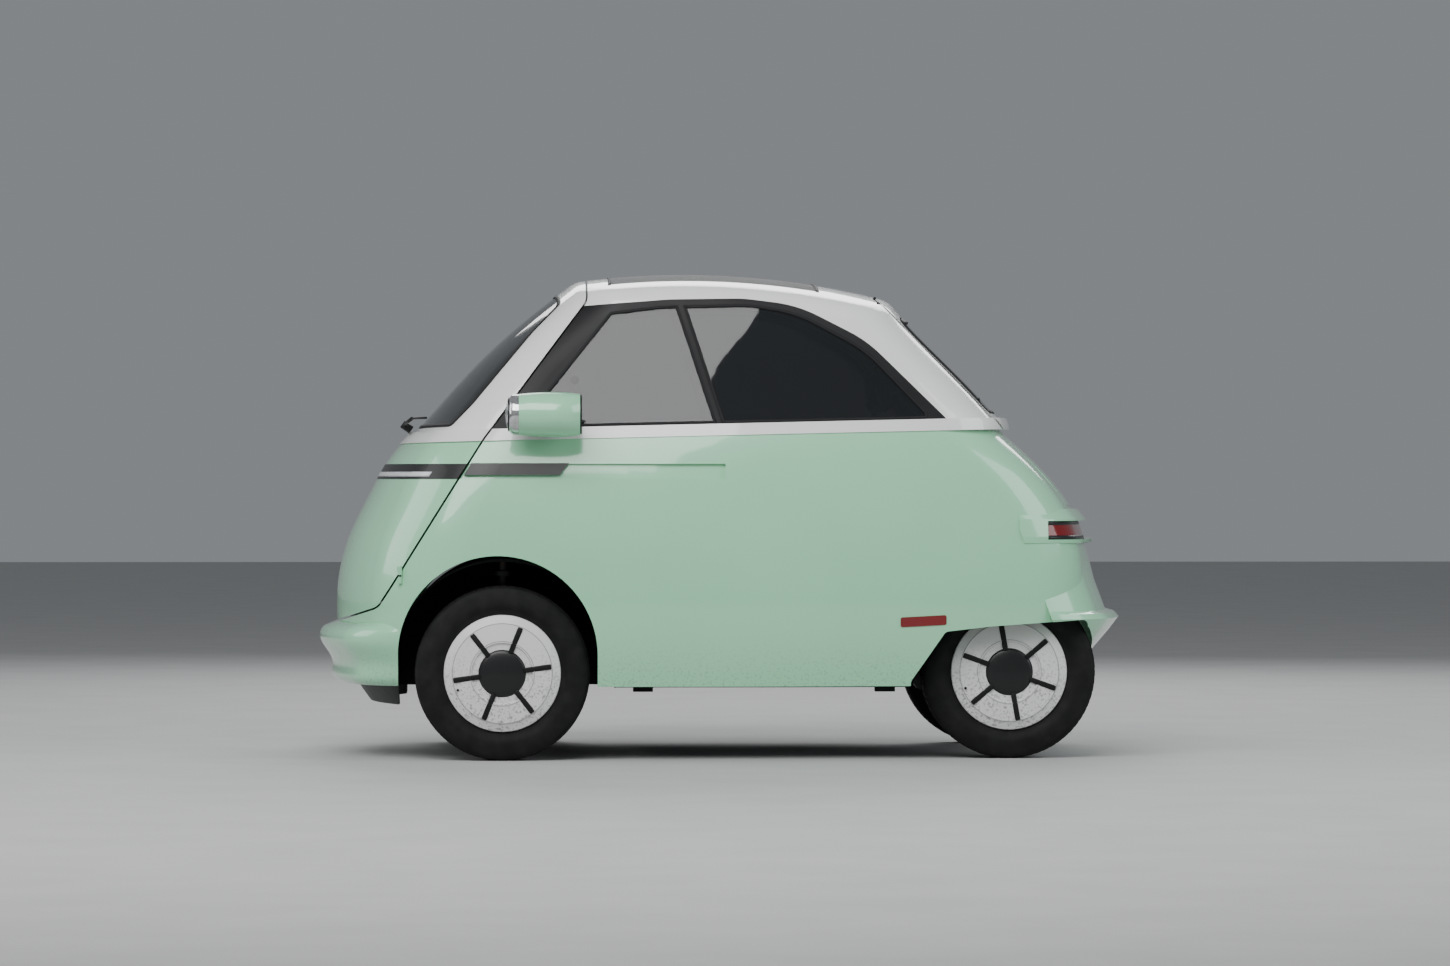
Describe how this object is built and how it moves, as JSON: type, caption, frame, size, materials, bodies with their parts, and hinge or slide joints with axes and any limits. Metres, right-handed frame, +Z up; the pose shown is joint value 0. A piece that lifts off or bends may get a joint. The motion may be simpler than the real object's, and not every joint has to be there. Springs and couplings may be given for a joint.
{
  "type": "microcar",
  "caption": "Short two-seat electric microcar with a side-hinged door across the nose, a glazed tailgate, spoked wheel covers and round lamp pods.",
  "frame": {"origin": "on the ground, at the middle of the overall length and width", "axes": "+X forward, +Y to the left of the car, +Z up"},
  "size_m": [2.5184, 1.682, 1.5009],
  "materials": {
    "green_paint": "gloss",
    "white_paint": "gloss",
    "black_plastic": "satin",
    "clear_glass": "gloss",
    "dark_glass": "gloss",
    "red_lens": "gloss",
    "lamp_chrome": "polished",
    "mirror_glass": "polished",
    "dark_metal": "satin",
    "drive_metal": "cast",
    "battery_case": "satin",
    "seat_fabric": "woven",
    "wheel_grip": "satin",
    "tyre_rubber": "matte",
    "rim_black": "satin",
    "cover_grey": "satin"
  },
  "bodies": {
    "body": {"left_side_panel": "green_paint", "right_side_panel": "green_paint", "front_bumper": "green_paint", "front_valance": "black_plastic", "rear_bumper": "green_paint", "rear_lamps": "red_lens", "side_strips": "black_plastic", "belt_mouldings": "white_paint", "roof_panel": "white_paint", "sunroof_panel": "black_plastic", "window_frames": "black_plastic", "front_side_windows": "clear_glass", "rear_side_windows": "clear_glass", "door_hinge_pin": "dark_metal", "tailgate_hinge_pins": "dark_metal", "spring_struts": "dark_metal", "front_subframe": "dark_metal", "rear_axle": "dark_metal", "drive_unit": "drive_metal", "floor_pan": "dark_metal", "wheelhouses": "black_plastic", "nose_frame": "dark_metal", "battery_box": "battery_case", "seat_cushions": "seat_fabric", "seat_backrests": "seat_fabric", "headrests": "seat_fabric", "steering_column": "black_plastic", "instrument_display": "black_plastic", "pedals": "dark_metal", "lamp_pods": "green_paint", "headlamps": "lamp_chrome", "mirror_glasses": "mirror_glass", "pod_brackets": "black_plastic"},
    "front_door": {"front_door_panel": "green_paint", "front_door_frame": "white_paint", "windscreen": "clear_glass", "light_bar": "black_plastic", "door_inner_bar": "black_plastic", "wiper": "black_plastic"},
    "tailgate": {"tailgate_panel": "green_paint", "tailgate_frame": "white_paint", "rear_window": "dark_glass"},
    "left_knuckle": {"left_knuckle": "dark_metal"},
    "right_knuckle": {"right_knuckle": "dark_metal"},
    "steering_wheel": {"steering_wheel": "wheel_grip"},
    "front_left_wheel": {"front_left_tyre": "tyre_rubber", "front_left_rim": "rim_black", "front_left_cover": "cover_grey"},
    "front_right_wheel": {"front_right_tyre": "tyre_rubber", "front_right_rim": "rim_black", "front_right_cover": "cover_grey"},
    "rear_left_wheel": {"rear_left_tyre": "tyre_rubber", "rear_left_rim": "rim_black", "rear_left_cover": "cover_grey"},
    "rear_right_wheel": {"rear_right_tyre": "tyre_rubber", "rear_right_rim": "rim_black", "rear_right_cover": "cover_grey"}
  },
  "joints": [
    {"name": "front_door_hinge", "type": "hinge", "parent": "body", "child": "front_door", "pos_m": [0.99, 0.672, 0.566], "axis": [0, 0, 1], "range_deg": [0, 75]},
    {"name": "tailgate_hinge", "type": "hinge", "parent": "body", "child": "tailgate", "pos_m": [-0.478, 0, 1.421], "axis": [0, 1, 0], "range_deg": [0, 70]},
    {"name": "left_kingpin", "type": "hinge", "parent": "body", "child": "left_knuckle", "pos_m": [0.679, 0.5, 0.2665], "axis": [0, 0, 1], "range_deg": [-26, 26]},
    {"name": "right_kingpin", "type": "hinge", "parent": "body", "child": "right_knuckle", "pos_m": [0.679, -0.5, 0.2665], "axis": [0, 0, 1], "range_deg": [-26, 26]},
    {"name": "front_left_spin", "type": "hinge", "parent": "left_knuckle", "child": "front_left_wheel", "pos_m": [0.679, 0.62, 0.2665], "axis": [0, 1, 0], "continuous": true},
    {"name": "front_right_spin", "type": "hinge", "parent": "right_knuckle", "child": "front_right_wheel", "pos_m": [0.679, -0.62, 0.2665], "axis": [0, 1, 0], "continuous": true},
    {"name": "rear_left_spin", "type": "hinge", "parent": "body", "child": "rear_left_wheel", "pos_m": [-0.874, 0.5, 0.2665], "axis": [0, 1, 0], "continuous": true},
    {"name": "rear_right_spin", "type": "hinge", "parent": "body", "child": "rear_right_wheel", "pos_m": [-0.874, -0.5, 0.2665], "axis": [0, 1, 0], "continuous": true},
    {"name": "steering_wheel_turn", "type": "hinge", "parent": "body", "child": "steering_wheel", "pos_m": [0.3, 0.27, 0.8], "axis": [-0.9063, 0, 0.4226], "range_deg": [-400, 400]}
  ],
  "couplings": [
    {"joint": "right_kingpin", "follows": "left_kingpin", "ratio": 1},
    {"joint": "steering_wheel_turn", "follows": "left_kingpin", "ratio": 14}
  ]
}
